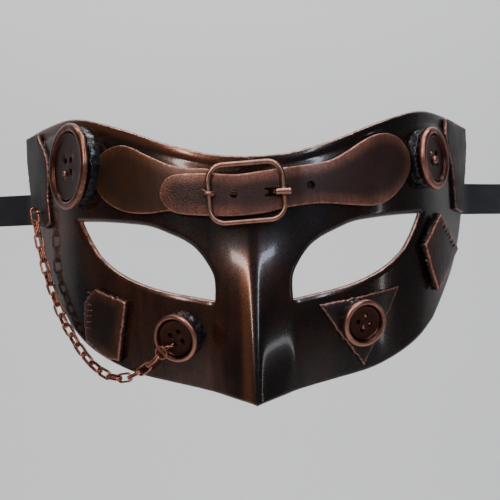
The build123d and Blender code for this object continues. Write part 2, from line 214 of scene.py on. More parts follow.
def finishShader(material, colour, roughness, metallic, height, bump, fixed, coat=None):
    tree = material.node_tree
    shader = putNode(tree, "ShaderNodeBsdfPrincipled", fixed)
    out = putNode(tree, "ShaderNodeOutputMaterial")
    given = {"Base Color": colour, "Roughness": roughness, "Metallic": metallic, "Coat Weight": coat}
    for socket, value in given.items():
        if value is None:
            continue
        if isinstance(value, (int, float)):
            shader.inputs[socket].default_value = value
        elif isinstance(value, tuple):
            shader.inputs[socket].default_value = (*value, 1)
        else:
            join(tree, value, shader.inputs[socket])
    if height is not None:
        bumpNode = putNode(tree, "ShaderNodeBump", {"Strength": bump[0], "Distance": bump[1]})
        join(tree, height, bumpNode.inputs["Height"])
        join(tree, bumpNode.outputs[0], shader.inputs["Normal"])
    join(tree, shader.outputs[0], out.inputs["Surface"])
    return material


# the last colour is painted light: the brown where light falls on the nose's left flank and on the brow lip
lacquer = {"dark": (0.010, 0.0065, 0.0058), "brown": (0.080, 0.026, 0.013), "copper": (0.46, 0.195, 0.135),
           "paintedLight": (0.19, 0.066, 0.030)}


def lacquerMaterial():
    material = newMaterial("bronzeLacquer")
    tree = material.node_tree
    coords = putNode(tree, "ShaderNodeTexCoord").outputs["Object"]
    split = putNode(tree, "ShaderNodeSeparateXYZ")
    join(tree, coords, split.inputs[0])
    # painted light: the brown is painted stronger towards the left side, where the warm lamp falls; the
    # clouds and streaks are the lacquer's own uneven tone
    litSideShare = rampValue(tree, split.outputs["X"], 0.045, -0.075, 0.30, 1.0)
    clouds = rampValue(tree, objectNoise(tree, 26, 4.0, 0.6), 0.36, 0.68)
    streaks = objectNoise(tree, 420, 3.0, 0.6, (1, 1, 0.10))
    toneAndLitSide = mathNode(tree, "MULTIPLY", clouds, litSideShare)
    toneAndLitSide = mathNode(tree, "MULTIPLY", toneAndLitSide, rampValue(tree, streaks, 0.25, 0.75, 0.55, 1.25))
    ground = mixColour(tree, toneAndLitSide, lacquer["dark"], lacquer["brown"])
    # painted light: the brown of the lit nose flank and brow lip, mixed into the lacquer
    paintedLight = rampValue(tree, edgeValue(tree, "paintedLight"), 0.0, 1.0, 0.0, 0.75)
    ground = mixColour(tree, paintedLight, ground, lacquer["paintedLight"])
    wear = useGroup(tree, rubWear, Edge=edgeValue(tree), Breakup=0.34, Scale=420.0).outputs["Mask"]
    colour = mixColour(tree, wear, ground, lacquer["copper"])
    speckle = objectNoise(tree, 2600, 2.0, 0.7)
    rough = rampValue(tree, speckle, 0.3, 0.75, 0.19, 0.34)
    rough = mathNode(tree, "ADD", rough, mathNode(tree, "MULTIPLY", wear, 0.10))
    inside = edgeValue(tree, "inside")
    rough = mathNode(tree, "ADD", rough, mathNode(tree, "MULTIPLY", inside, 0.45))
    coat = rampValue(tree, inside, 0.0, 1.0, 0.45, 0.0)
    metal = mathNode(tree, "SUBTRACT", rampValue(tree, wear, 0.0, 1.0, 0.62, 0.95), inside, True)
    height = mathNode(tree, "ADD", mathNode(tree, "MULTIPLY", speckle, 0.6),
                      mathNode(tree, "MULTIPLY", streaks, 0.8))
    fixed = {"Coat Roughness": 0.10, "Specular IOR Level": 0.5}
    return finishShader(material, colour, rough, metal, height, (0.22, 0.00012), fixed, coat)


def leatherMaterial(name, hide):
    # spread is how much of the brown shows: in the middle, and at the edge
    dark, grainDepth, spread = hide["dark"], hide["grainDepth"], hide["spread"]
    material = newMaterial(name)
    tree = material.node_tree
    grain = useGroup(tree, hideGrain, Scale=hide["grainScale"])
    clouds = rampValue(tree, objectNoise(tree, 90, 4.0, 0.6), 0.30, 0.70, 0.45, 1.0)
    streaks = objectNoise(tree, 700, 3.0, 0.6, (1, 1, 0.12))
    halo = rampValue(tree, edgeValue(tree, "halo"), 0.0, 1.0, spread[0], spread[1])
    brownShare = mathNode(tree, "MULTIPLY", clouds, rampValue(tree, streaks, 0.3, 0.7, 0.75, 1.15))
    brownShare = mathNode(tree, "MULTIPLY", brownShare, halo, True)
    ground = mixColour(tree, brownShare, dark, hide["brown"])
    grainTone = mathNode(tree, "MULTIPLY", grain.outputs["Crease"], 0.7 * grainDepth)
    ground = mixColour(tree, grainTone, ground, tuple(c * 0.4 for c in dark))
    wear = useGroup(tree, rubWear, Edge=edgeValue(tree), Breakup=0.42, Scale=620.0).outputs["Mask"]
    colour = mixColour(tree, wear, ground, hide["copper"])
    rough = rampValue(tree, clouds, 0.45, 1.0, 0.44, 0.33)
    height = mathNode(tree, "ADD", mathNode(tree, "MULTIPLY", grain.outputs["Height"], grainDepth),
                      mathNode(tree, "MULTIPLY", streaks, 0.35))
    fixed = {"Coat Roughness": 0.25, "Coat Weight": 0.12, "Specular IOR Level": 0.4}
    metal = rampValue(tree, wear, 0.0, 1.0, 0.50, 0.88)
    return finishShader(material, colour, rough, metal, height, (0.55, 0.00022), fixed)


def copperMaterial(name, metal):
    # plated copper, left dark where a hand can't rub it
    material = newMaterial(name)
    tree = material.node_tree
    wear = useGroup(tree, rubWear, Edge=edgeValue(tree), Breakup=0.45, Scale=metal["scale"],
                    Start=0.28, Full=0.85).outputs["Mask"]
    tone = rampValue(tree, objectNoise(tree, 160, 3.0), 0.3, 0.7)
    light = mixColour(tree, tone, metal["bright"], tuple(c * 0.72 for c in metal["bright"]))
    colour = mixColour(tree, wear, metal["dark"], light)
    speckle = objectNoise(tree, 3000, 2.0, 0.7)
    roughness = mathNode(tree, "ADD", rampValue(tree, speckle, 0.3, 0.7, -0.05, 0.07), metal["rough"])
    metallic = rampValue(tree, wear, 0.0, 1.0, 0.92, 1.0)
    return finishShader(material, colour, roughness, metallic, speckle, (0.18, 0.0001), {"Coat Weight": 0.03})


def glueMaterial():
    material = newMaterial("blackGlue")
    tree = material.node_tree
    specks = objectNoise(tree, 1500, 2.0, 0.6)
    colour = mixColour(tree, rampValue(tree, specks, 0.66, 0.74), (0.006, 0.006, 0.007), (0.10, 0.055, 0.04))
    lumps = objectNoise(tree, 420, 3.0, 0.6)
    rough = rampValue(tree, lumps, 0.3, 0.7, 0.20, 0.40)
    return finishShader(material, colour, rough, 0.0, lumps, (0.25, 0.0003),
                        {"Coat Weight": 0.08, "Coat Roughness": 0.12, "Specular IOR Level": 0.28})


def satinMaterial():
    material = newMaterial("blackSatin")
    tree = material.node_tree
    weave = putNode(tree, "ShaderNodeUVMap", uv_map="UVMap").outputs["UV"]
    ribs = objectNoise(tree, 1.0, 1.0, 0.5, (14, 160, 1), weave)
    lines = putNode(tree, "ShaderNodeTexWave", {"Scale": 1.0, "Distortion": 0.4}, bands_direction="X")
    mapping = putNode(tree, "ShaderNodeMapping", {"Scale": (70, 1, 1)})
    join(tree, weave, mapping.inputs["Vector"])
    join(tree, mapping.outputs[0], lines.inputs["Vector"])
    height = mathNode(tree, "ADD", lines.outputs["Fac"], ribs)
    colour = mixColour(tree, ribs, (0.006, 0.006, 0.008), (0.016, 0.017, 0.021))
    rough = rampValue(tree, ribs, 0.3, 0.7, 0.30, 0.42)
    return finishShader(material, colour, rough, 0.0, height, (0.35, 0.0001),
                        {"Sheen Weight": 0.35, "Sheen Roughness": 0.35, "Specular IOR Level": 0.55})


hides = {
    "smoothHide": {"dark": (0.018, 0.009, 0.006), "brown": (0.105, 0.040, 0.018),
                   "copper": (0.42, 0.18, 0.115), "grainScale": 2600.0, "grainDepth": 0.14,
                   "spread": (0.45, 1.0)},
    "pebbledHide": {"dark": (0.020, 0.0095, 0.008), "brown": (0.22, 0.080, 0.050),
                    "copper": (0.44, 0.195, 0.14), "grainScale": 2100.0, "grainDepth": 0.60,
                    "spread": (0.12, 1.0)},
    "patchHide": {"dark": (0.014, 0.0075, 0.006), "brown": (0.115, 0.042, 0.028),
                  "copper": (0.45, 0.19, 0.13), "grainScale": 2400.0, "grainDepth": 0.22,
                  "spread": (0.10, 0.85)},
    "blackHide": {"dark": (0.009, 0.006, 0.0055), "brown": (0.060, 0.026, 0.021),
                  "copper": (0.36, 0.16, 0.125), "grainScale": 2000.0, "grainDepth": 0.30,
                  "spread": (0.15, 0.6)},
}
metals = {
    "buckleCopper": {"bright": (0.43, 0.215, 0.155), "dark": (0.05, 0.022, 0.015),
                     "rough": 0.31, "scale": 500.0},
    "buttonCopper": {"bright": (0.40, 0.180, 0.130), "dark": (0.050, 0.017, 0.012),
                     "rough": 0.34, "scale": 500.0},
    "chainCopper": {"bright": (0.46, 0.185, 0.125), "dark": (0.06, 0.020, 0.013),
                    "rough": 0.26, "scale": 900.0},
}
shellPaint = lacquerMaterial()
smoothHide, pebbledHide, patchHide, blackHide = [leatherMaterial(name, hide) for name, hide in hides.items()]
buckleCopper, buttonCopper, chainCopper = [copperMaterial(name, metal) for name, metal in metals.items()]
glueBlack = glueMaterial()
ribbonSatin = satinMaterial()
print("materials ready")

# the curved front that everything lies on, in millimetres
form = {"bendSquare": 0.00323, "bendFourth": 8.03e-7, "templeStart": 76.0, "wall": 2.0,
        "browStart": 24.0, "browLean": 0.004, "cheekStart": -12.0, "cheekTuck": 0.003,
        "noseTop": 17.0, "noseTip": -57.0, "noseRise": 17.0, "noseHalf": 14.2,
        "ridgeHalf": 1.4, "ridgeCorner": 0.9, "footSoft": 0.12}


def noseForward(x, z):
    down = min(max((form["noseTop"] - z) / (form["noseTop"] - form["noseTip"]), 0), 1.15)
    past = abs(x) - form["ridgeHalf"]
    out = (past + math.hypot(past, form["ridgeCorner"])) / 2
    side = 1 - out / form["noseHalf"]
    return form["noseRise"] * down ** 1.4 * (side + math.sqrt(side * side + form["footSoft"] ** 2)) / 2


def frontDepth(x, z):
    reach = min(abs(x), form["templeStart"])
    start = form["templeStart"]
    slope = 2 * form["bendSquare"] * start + 4 * form["bendFourth"] * start ** 3
    depth = form["bendSquare"] * reach ** 2 + form["bendFourth"] * reach ** 4 + slope * (abs(x) - reach)
    depth += form["browLean"] * max(z - form["browStart"], 0) ** 2
    depth += form["cheekTuck"] * max(form["cheekStart"] - z, 0) ** 2
    return depth - noseForward(x, z)


def frontNormal(x, z):
    step = 0.05
    across = (frontDepth(x + step, z) - frontDepth(x - step, z)) / (2 * step)
    upward = (frontDepth(x, z + step) - frontDepth(x, z - step)) / (2 * step)
    return Vector((across, -1, upward)).normalized()


def onFront(x, z, height=0.0):
    return (Vector((x, frontDepth(x, z), z)) + frontNormal(x, z) * height) * mm


def seenAt(x, z, height, level=None):
    # keeps x and z for the point at the given height; another level lies on its normal
    normal = frontNormal(x, z)
    spot = Vector((x, frontDepth(x, z) - height / abs(normal.y), z))
    return (spot + normal * ((height if level is None else level) - height)) * mm


def pathThrough(points, count, closed=False, straight=False):
    # evenly spaced points on a smooth or a straight-cut line through the given ones
    base = [Vector((x, z)) for x, z in points]
    size = len(base)
    dense = []
    for i in range(size if closed else size - 1):
        near, far = base[i], base[(i + 1) % size]
        before = base[(i - 1) % size] if closed or i else near * 2 - far
        after = base[(i + 2) % size] if closed or i + 2 < size else far * 2 - near
        for k in range(24):
            t = k / 24
            if straight:
                dense.append(near.lerp(far, t))
                continue
            square = 2 * before - 5 * near + 4 * far - after
            cube = 3 * near - before - 3 * far + after
            dense.append(0.5 * (2 * near + (far - before) * t + square * t * t + cube * t ** 3))
    dense.append(base[0] if closed else base[-1])
    length = [0.0]
    for a, b in zip(dense, dense[1:]):
        length.append(length[-1] + (b - a).length)
    result, k = [], 0
    steps = count if closed else count - 1
    for i in range(count):
        want = length[-1] * i / steps
        while k < len(length) - 2 and length[k + 1] < want:
            k += 1
        span = length[k + 1] - length[k]
        result.append(dense[k].lerp(dense[k + 1], (want - length[k]) / span if span else 0))
    return result


def gridPiece(name, columns, rows, place):
    # a grid primitive whose points are all carried to their own place
    bpy.ops.object.select_all(action="DESELECT")
    bpy.ops.mesh.primitive_grid_add(x_subdivisions=columns, y_subdivisions=rows, size=1, location=(0, 0, 0))
    piece = bpy.context.object
    piece.name = name
    for vertex in piece.data.vertices:
        vertex.co = place(round((vertex.co.x + 0.5) * columns), round((vertex.co.y + 0.5) * rows))
    return piece


def mergeDoubles(piece, distance=0.00001, recalculate=True):
    bpy.ops.object.select_all(action="DESELECT")
    bpy.context.view_layer.objects.active = piece
    piece.select_set(True)
    bpy.ops.object.mode_set(mode="EDIT")
    bpy.ops.mesh.select_all(action="SELECT")
    bpy.ops.mesh.remove_doubles(threshold=distance)
    if recalculate:
        bpy.ops.mesh.normals_make_consistent(inside=False)
    bpy.ops.object.mode_set(mode="OBJECT")


def applyModifier(piece, kind, **settings):
    bpy.ops.object.select_all(action="DESELECT")
    bpy.context.view_layer.objects.active = piece
    piece.select_set(True)
    made = piece.modifiers.new(kind.lower(), kind)
    for key, value in settings.items():
        setattr(made, key, value)
    bpy.ops.object.modifier_apply(modifier=made.name)


def smoothed(piece, degrees=40):
    bpy.ops.object.select_all(action="DESELECT")
    bpy.context.view_layer.objects.active = piece
    piece.select_set(True)
    bpy.ops.object.shade_smooth_by_angle(angle=math.radians(degrees))
    return piece


def paintEdge(piece, value, name="edge"):
    # one number per point, read by the shader
    layer = piece.data.attributes.new(name=name, type="FLOAT", domain="POINT")
    layer.data.foreach_set("value", [value(vertex.co) for vertex in piece.data.vertices])


def finish(piece, material, body, slot, *nodes):
    piece.data.materials.clear()
    piece.data.materials.append(material)
    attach(piece, body)
    if nodes:
        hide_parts(*nodes)
    return piece


def nearestDistance(points):
    tree = kdtree.KDTree(len(points))
    for i, point in enumerate(points):
        tree.insert(point, i)
    tree.balance()
    return lambda co: tree.find(co)[2]


def makeStudioSweep():
    # floor, round corner and backdrop in one sheet
    columns, rows = 8, 60
    low, back, radius = studio["floorHeight"], studio["back"], studio["corner"]
    floorLength = back - radius - studio["front"]
    total = floorLength + math.pi / 2 * radius + studio["wall"]

    def place(i, j):
        x = (2 * i / columns - 1) * studio["half"]
        along = total * j / rows
        if along < floorLength:
            return Vector((x, studio["front"] + along, low))
        turned = (along - floorLength) / radius
        if turned < math.pi / 2:
            return Vector((x, back - radius + radius * math.sin(turned),
                           low + radius - radius * math.cos(turned)))
        return Vector((x, back, low + radius + along - floorLength - math.pi / 2 * radius))

    sweep = gridPiece("studioSweep", columns, rows, place)
    bpy.ops.object.shade_smooth()
    tone = studio["tone"]
    paper = newMaterial("paperSweep")
    finishShader(paper, (tone, tone, tone), 0.9, 0.0, None, None, {"Specular IOR Level": 0.1})
    sweep.data.materials.append(paper)


makeStudioSweep()

# half outlines of the shell and of an eye hole, as (x, z)
shell = {
    "top": [(0, 35), (13.5, 36), (26, 39), (36, 42.3), (46, 46.3), (56, 49.8), (65, 52.6), (72.5, 53.4),
            (82, 52), (88, 50.3), (92.6, 48.4)],
    "rear": [(92.6, 48.4), (92.2, 40), (90.9, 30), (89.2, 18), (86.6, 3.5), (82.5, -9), (77, -19.5),
             (71.3, -29)],
    "low": [(71.3, -29), (65.3, -35), (58.6, -39.6), (50.5, -43.6), (43, -46.4), (31, -49.2), (21, -51.6),
            (10, -54.6), (0, -57)],
    "eyeTop": [(26, 4.3), (30.5, 6.4), (38.5, 9.6), (47.3, 11), (57.5, 12), (66.4, 12.5)],
    "eyeTail": [(66.4, 12.5), (64.8, 9), (62.2, 4)],
    "eyeLow": [(62.2, 4), (58, -1.8), (50.4, -7.8), (40.5, -12.4), (31.3, -15.1), (22, -17), (15.1, -18.4)],
    "eyeInner": [(15.1, -18.4), (14.8, -13), (15.5, -8.3), (18.5, -2.8), (22, 1.4), (26, 4.3)],
    "counts": (84, 34, 70, 44), "rows": 42,
    "outerRoll": 1.3, "eyeRoll": 2.0, "topBand": 5.0, "bandDip": 0.45,
    "rub": {"top": 3.0, "rear": 1.6, "low": 2.3, "eyeTop": 1.2, "eyeLow": 2.7},
    "rimDepth": {"top": -0.4, "outer": -0.5, "eye": -1.0}, "rowEase": 0.55, "bevel": 0.3,
    "flank": {"top": 2.0, "fade": 16.0, "at": -3.2, "wide": 2.0},
    "lip": {"at": 2.2, "wide": 2.0, "ends": 12.0, "fade": 30.0, "share": 0.7},
}


def sideLoop(keys):
    points = []
    for key, count in zip(keys, shell["counts"]):
        line = [(0, -57), (0, 35)] if key == "centre" else shell[key]
        points += pathThrough(line, count + 1, straight=key == "centre")[:-1]
    return points


def rolled(distance, radius):
    if distance >= radius:
        return 0.0
    return radius - math.sqrt(max(radius ** 2 - (radius - distance) ** 2, 0))


def makeShell():
    outer = sideLoop(("top", "rear", "low", "centre"))
    inner = sideLoop(("eyeTop", "eyeTail", "eyeLow", "eyeInner"))
    rim = sum(shell["counts"][:3])
    toEdge = nearestDistance([Vector((p.x, 0, p.y)) for p in outer[:rim + 1]])
    toTop = nearestDistance([Vector((p.x, 0, p.y)) for p in outer[:shell["counts"][0] + 1]])
    toEye = nearestDistance([Vector((p.x, 0, p.y)) for p in inner])
    rows = shell["rows"]

    def place(i, j):
        ease = shell["rowEase"]
        share = (1 - math.cos(math.pi * j / rows)) / 2 * ease + (1 - ease) * j / rows
        i = i % len(outer)
        flat = inner[i].lerp(outer[i], share)
        spot = Vector((flat.x, 0, flat.y))
        height = -rolled(toEdge(spot), shell["outerRoll"]) - rolled(toEye(spot), shell["eyeRoll"])
        band = toTop(spot) / shell["topBand"]
        height -= shell["bandDip"] * math.exp(-((band - 0.9) / 0.28) ** 2)
        spot = onFront(flat.x, flat.y, height)
        return Vector((0, spot.y, spot.z)) if flat.x < 0.001 else spot

    piece = gridPiece("maskShell", len(outer), rows, place)
    mergeDoubles(piece)
    if piece.data.polygons[len(piece.data.polygons) // 2].normal.y > 0:
        piece.data.flip_normals()
    applyModifier(piece, "MIRROR", use_clip=True, merge_threshold=0.00002)
    applyModifier(piece, "SOLIDIFY", thickness=form["wall"] * mm, offset=-1)
    applyModifier(piece, "BEVEL", width=shell["bevel"] * mm, segments=2, limit_method="ANGLE",
                  angle_limit=math.radians(55))

    def line(points, level):
        return nearestDistance([onFront(side * p.x, p.y, level) for p in points for side in (-1, 1)])

    topCount, rearCount = shell["counts"][:2]
    depth, rub = shell["rimDepth"], shell["rub"]
    nearTop = line(outer[:topCount + 1], depth["top"])
    bands = [(nearTop, rub["top"]),
             (line(outer[topCount:topCount + rearCount], depth["outer"]), rub["rear"]),
             (line(outer[topCount + rearCount:rim + 1], depth["outer"]), rub["low"]),
             (line(inner[:topCount], depth["eye"]), rub["eyeTop"]),
             (line(inner[topCount:rim + 1], depth["eye"]), rub["eyeLow"])]

    def edge(co):
        return max(0.0, *(1 - near(co) / (wide * mm) for near, wide in bands))

    def paintedLight(co):
        # painted light: a brown painted where light falls, on the nose's left flank and on the lip along the
        # brow
        x, z = co.x / mm, co.z / mm
        flank, lip = shell["flank"], shell["lip"]
        onFlank = min(max((flank["top"] - z) / flank["fade"], 0), 1)
        onFlank *= math.exp(-((x - flank["at"]) / flank["wide"]) ** 2)
        onLip = math.exp(-((nearTop(co) / mm - lip["at"]) / lip["wide"]) ** 2)
        onLip *= min(max((lip["ends"] - x) / lip["fade"], 0), 1)
        return min(onFlank + lip["share"] * onLip, 1)

    paintEdge(piece, edge)
    def inside(co):
        x, z = co.x / mm, co.z / mm
        below = (co.y / mm - frontDepth(x, z)) * abs(frontNormal(x, z).y)
        return 1.0 if below > form["wall"] - 0.1 else 0.0

    # painted light: how much lit brown each point of the nose flank and brow lip gets
    paintEdge(piece, paintedLight, "paintedLight")
    paintEdge(piece, inside, "inside")
    smoothed(piece, 50)
    return finish(piece, shellPaint, "mask", "shell", "mask_shell")


makeShell()
print("shell ready")


sheetForm = {"rub": 2.2, "halo": 5.5}


def cutSheet(name, outline, spine, under, thick, around, straight=False, rows=9, edgeRound=0.45, ragged=0.0,
             puff=0.15):
    # a closed sheet: flat underside, rounded edge, top that runs in to a spine line
    border = pathThrough(outline, around, closed=True, straight=straight)
    if ragged:
        for i, point in enumerate(border):
            shake = noise.noise(Vector((point.x * 0.9, point.y * 0.9, ragged * 7)))
            fine = noise.noise(Vector((point.x * 3.1, point.y * 3.1, ragged * 3)))
            middle = sum(border, Vector((0, 0))) / len(border)
            border[i] = point + (point - middle).normalized() * (shake * ragged + fine * ragged * 0.5)
    line = pathThrough(spine, 60, straight=True) if len(spine) > 1 else [Vector(spine[0])]
    inner = [min(line, key=lambda q: (q - point).length) for point in border]
    edgeRows = [(0.0, 0.0), (0.0, thick - edgeRound), (edgeRound * 0.13, thick - edgeRound * 0.5),
                (edgeRound * 0.5, thick - edgeRound * 0.13), (edgeRound, thick)]

    def place(i, j):
        i = i % around
        start, end = border[i], inner[i]
        reach = (end - start).length
        if j <= 2:
            share, level = 1 - j / 2, 0.0
        elif j - 2 < len(edgeRows):
            inset, level = edgeRows[j - 2]
            share = inset / reach if reach else 0
        else:
            k = j - 2 - len(edgeRows) + 1
            share = edgeRound / reach + (1 - edgeRound / reach) * k / rows
            level = thick + puff * math.sin(min(share * reach / 4, 1) * math.pi / 2)
        flat = start.lerp(end, min(share, 1))
        low = under(flat.x)
        return seenAt(flat.x, flat.y, low + thick, low + level)

    piece = gridPiece(name, around, rows + len(edgeRows) + 1, place)
    mergeDoubles(piece, 0.00002)
    nearBorder = nearestDistance([seenAt(p.x, p.y, under(p.x) + thick) for p in border])
    paintEdge(piece, lambda co: max(0.0, 1 - nearBorder(co) / (sheetForm["rub"] * mm)))
    paintEdge(piece, lambda co: max(0.0, 1 - nearBorder(co) / (sheetForm["halo"] * mm)), "halo")
    return smoothed(piece, 60)


def cutHole(piece, cutter):
    bpy.ops.object.select_all(action="DESELECT")
    applyModifier(piece, "BOOLEAN", object=cutter, operation="DIFFERENCE", solver="EXACT")
    bpy.data.objects.remove(cutter)


def roundCutter(x, z, radius, out=10):
    bpy.ops.object.select_all(action="DESELECT")
    spot = Vector((x, frontDepth(x, z), z)) * mm
    bpy.ops.mesh.primitive_cylinder_add(vertices=40, radius=radius * mm, depth=2 * out * mm, location=spot,
                                        rotation=(math.radians(90), 0, 0))
    return bpy.context.object


def boxCutter(x, z, size, out=10):
    bpy.ops.object.select_all(action="DESELECT")
    bpy.ops.mesh.primitive_cube_add(size=1, location=Vector((x, frontDepth(x, z), z)) * mm,
                                    scale=(size[0] * mm, 2 * out * mm, size[1] * mm))
    return bpy.context.object


straps = {
    "thick": 1.9, "glue": 0.05, "tongueLift": 2.1,
    "left": [(-14.5, 29.6), (-23, 31), (-30.1, 32.4), (-39.5, 36.8), (-44.8, 39.6), (-49.5, 40.7),
             (-55.2, 38.9), (-58.8, 35), (-59.8, 29.9), (-58.4, 24), (-55.4, 20), (-51, 16.9), (-45.5, 15),
             (-38.5, 14.5), (-30.5, 15.2), (-22, 14.6), (-14.5, 14.2), (-14.2, 22)],
    "leftSpine": [(-19, 22), (-33, 24), (-46, 28)],
    "right": [(-8, 12.6), (-20, 13.2), (-28.3, 14.4), (-32.2, 17.2), (-34.2, 21.5), (-32.4, 26.4),
              (-27.9, 28.6), (-17, 28.7), (-5.6, 28), (3.7, 29), (13, 30.2), (24, 31.6), (30.5, 33),
              (36.6, 36.2), (42.3, 39.8), (47, 42.1), (52, 43), (56.8, 41.6), (60.4, 38), (62, 33.6),
              (61.6, 29.2), (59.2, 24.4), (55, 19.6), (50.6, 16.7), (45.5, 15.5), (38, 15.8), (25.4, 16.6),
              (13, 15.3), (4, 13.4)],
    "rightSpine": [(-26, 21.2), (-8, 20.6), (8, 21.6), (24, 24), (38, 26.6), (50, 29.6)],
    "punched": [((-6.6, 20.6), 1.4), ((22, 23.4), 1.6)],
    "prongHole": ((8.0, 21.2), (6.4, 3.2)), "slope": (20.0, 9.0),
}


def strapUnder(x):
    # the right strap lies on the shell, then climbs over the left one
    start, run = straps["slope"]
    share = min(max((start - x) / run, 0), 1)
    return straps["glue"] + straps["tongueLift"] * share * share * (3 - 2 * share)


def makeStraps():
    left = cutSheet("browStrapLeft", straps["left"], straps["leftSpine"], lambda x: straps["glue"],
                    straps["thick"], 260, rows=10)
    finish(left, smoothHide, "mask", "strap", "brow_strap_left")
    right = cutSheet("browStrapRight", straps["right"], straps["rightSpine"], strapUnder, straps["thick"],
                     420, rows=12)
    for (x, z), radius in straps["punched"]:
        cutHole(right, roundCutter(x, z, radius))
    (x, z), size = straps["prongHole"]
    cutHole(right, boxCutter(x, z, size))
    finish(right, pebbledHide, "mask", "strap", "brow_strap_right")


makeStraps()
print("straps ready")

patches = {
    "thick": 1.5, "glue": 0.05, "lift": 1.7,
    "templeLeft": [(-91.4, 48.4), (-85.4, 49.8), (-85.0, 47.2), (-82.8, 42.8), (-81, 37.7), (-80.6, 30),
                   (-81.2, 24), (-80.6, 18.3), (-80.1, 13.2), (-82.4, 10.8), (-87.6, 11.2), (-89, 20),
                   (-90.4, 30), (-91.4, 40)],
    "templeRight": [(91.4, 48.2), (80.6, 51.2), (80.4, 44.7), (81.5, 37.5), (83.2, 31.6), (83.7, 24.3),
                    (84.2, 14.5), (88, 13.2), (89.4, 24), (90.6, 33), (91.4, 40)],
    "cheekLeft": [(-60.2, -13.6), (-48.2, -18.5), (-51.6, -40.4), (-56, -39.8), (-64.6, -33.6),
                  (-65.2, -26.8), (-64.8, -18.6), (-62.2, -15.2)],
    "cheekRight": [(75.3, 12), (72.4, 7.6), (67.6, 0.4), (69.6, -7.5), (73.2, -17.5), (78, -11.5),
                   (84.2, -1.6), (80.4, 5.2)],
    "triangle": [(24.2, -21), (40, -18.4), (55.6, -15.2), (48.6, -29.6), (41, -44.2), (32.2, -32.6)],
}


def middleOf(points):
    return (sum(x for x, z in points) / len(points), sum(z for x, z in points) / len(points))


def makePatches():
    for side in ("Left", "Right"):
        outline = patches["temple" + side]
        middle = middleOf(outline)
        spine = [(middle[0], middle[1] + 10), (middle[0], middle[1] - 10)]
        piece = cutSheet("templePatch" + side, outline, spine, lambda x: patches["glue"], patches["thick"],
                         200, straight=True, rows=5, ragged=0.25)
        if side == "Left":
            cutHole(piece, roundCutter(-87.6, 43.6, 0.9, 14))
        finish(piece, blackHide, "mask", "patch", "temple_patch_" + side.lower())
        outline = patches["cheek" + side]
        piece = cutSheet("cheekPatch" + side, outline, [middleOf(outline)],
                         lambda x: patches["lift"] + patches["glue"], patches["thick"], 220, straight=True,
                         rows=8, ragged=0.35)
        finish(piece, patchHide, "mask", "patch", "cheek_patch_" + side.lower())
    outline = patches["triangle"]
    piece = cutSheet("trianglePatch", outline, [middleOf(outline)], lambda x: patches["glue"],
                     patches["thick"], 220, straight=True, rows=8, ragged=0.5)
    finish(piece, blackHide, "mask", "patch", "triangle_patch")


makePatches()
print("patches ready")

# beads of hardened glue are (x, y, z, radius) in the button's own frame
buttons = {
    "upperLeft": {"at": (-66.0, 33.8), "radius": 16.8, "rim": 3.5, "gap": 4.7, "hole": 1.2, "turn": 4,
                  "lean": (-0.27, 0), "node": "upper_left", "shine": 0.58,
                  "beads": [(-2.5, -2.4, 1.9, 1.15)]},
    "upperRight": {"at": (68.1, 33.7), "radius": 12.2, "rim": 3.0, "gap": 3.8, "hole": 1.1, "turn": 0,
                   "lean": (0.12, 0), "node": "upper_right", "shine": 0.72,
                   "beads": [(0.2, -0.7, 1.5, 1.75), (-1.9, 1.8, 1.2, 0.9)]},
    "lowerLeft": {"at": (-27.7, -31.1), "radius": 9.1, "rim": 2.0, "gap": 3.8, "hole": 0.9, "turn": 20,
                  "lean": (-0.28, -0.14), "node": "lower_left", "shine": 0.9,
                  "beads": []},
    "lowerRight": {"at": (38.8, -27.6), "radius": 9.0, "rim": 2.3, "gap": 3.7, "hole": 0.9, "turn": 34,
                   "lean": (0.06, -0.13), "node": "lower_right", "shine": 0.86,
                   "beads": [(1.85, 1.85, 1.3, 0.72), (1.85, -1.85, 1.2, 0.62), (-1.2, -1.6, 1.4, 0.6)]},
}
buttonForm = {"thick": 3.2, "dish": 1.5, "baseHeight": 2.9, "baseInset": {"upperLeft": 1.3}, "inset": 0.7,
              "turns": 96, "baseTurns": 72, "gap": 0.1, "lump": 0.75, "bevel": 0.22}


def buttonMatrix(settings, height):
    x, z = settings["at"]
    sideways, upwards = settings["lean"]
    normal = (frontNormal(x, z) + Vector((sideways, 0, upwards))).normalized()
    level = Vector((0, 0, 1)).cross(normal).normalized()
    angle = math.radians(settings["turn"])
    side = level * math.cos(angle) + normal.cross(level) * math.sin(angle)
    turned = Matrix((side, normal.cross(side), normal)).transposed().to_4x4()
    pad = buttonForm["baseHeight"]
    return Matrix.Translation(onFront(x, z, pad) + normal * (height - pad) * mm) @ turned


def turnProfile(name, profile, turns):
    # a profile of (radius, height) spun round the Z axis
    bpy.ops.object.select_all(action="DESELECT")
    bpy.ops.mesh.primitive_plane_add(size=1, location=(0, 0, 0))
    piece = bpy.context.object
    piece.name = name
    bpy.ops.object.mode_set(mode="EDIT")
    bpy.ops.mesh.select_all(action="SELECT")
    bpy.ops.mesh.delete(type="VERT")
    bpy.ops.object.mode_set(mode="OBJECT")
    points = [Vector((radius * mm, 0, height * mm)) for radius, height in profile]
    piece.data.from_pydata(points, [(i, i + 1) for i in range(len(points) - 1)], [])
    bpy.ops.object.mode_set(mode="EDIT")
    bpy.ops.mesh.select_all(action="SELECT")
    bpy.ops.mesh.spin(steps=turns, angle=2 * math.pi, center=(0, 0, 0), axis=(0, 0, 1))
    bpy.ops.object.mode_set(mode="OBJECT")
    mergeDoubles(piece, 0.000005)
    return piece


def arc(centre, radius, start, end, steps):
    angles = [math.radians(start + (end - start) * i / steps) for i in range(steps + 1)]
    return [(centre[0] + radius * math.cos(angle), centre[1] + radius * math.sin(angle)) for angle in angles]


